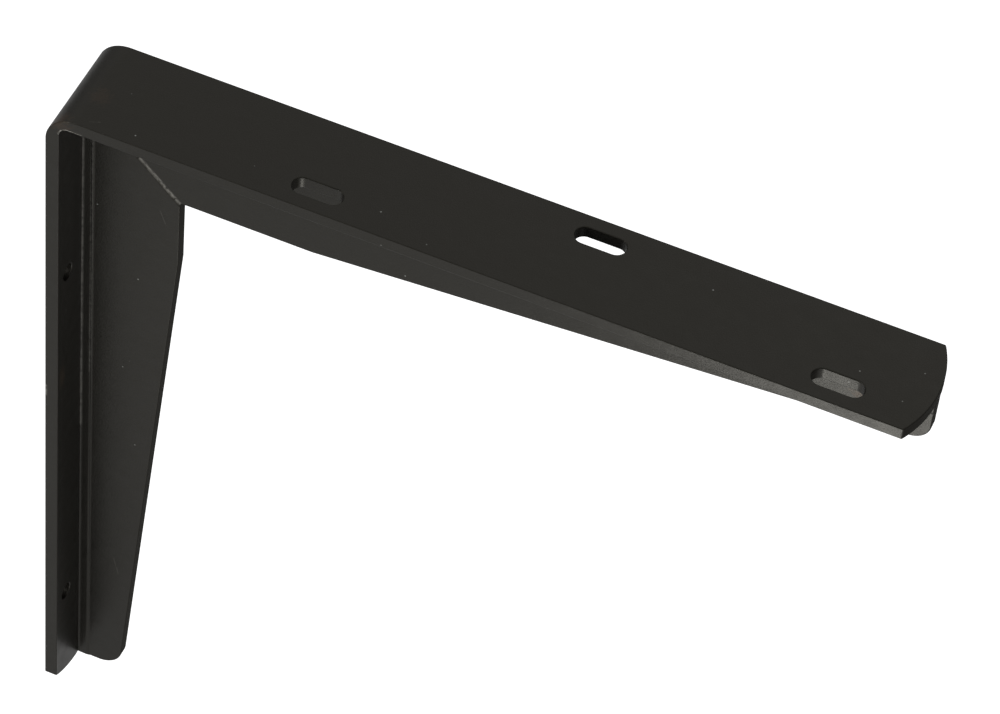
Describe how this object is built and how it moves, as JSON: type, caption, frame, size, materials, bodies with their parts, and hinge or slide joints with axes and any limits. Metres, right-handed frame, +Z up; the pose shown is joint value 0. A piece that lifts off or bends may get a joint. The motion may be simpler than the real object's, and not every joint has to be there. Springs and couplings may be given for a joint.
{
  "type": "shelf bracket",
  "caption": "Right-angle shelf bracket bent from T-section bar, with a tapered stiffening web, staggered slots in the shelf leg and screw holes in the wall leg.",
  "frame": {"origin": "On the wall leg's back face, at the middle of its width and halfway down from the shelf face to the foot.", "axes": "X points out from the wall along the shelf leg, Z points up, and Y runs along the width of the flange."},
  "size_m": [0.307, 0.04, 0.308],
  "materials": {
    "paint": "satin"
  },
  "bodies": {
    "root": {"bracket": "paint"}
  },
  "joints": []
}
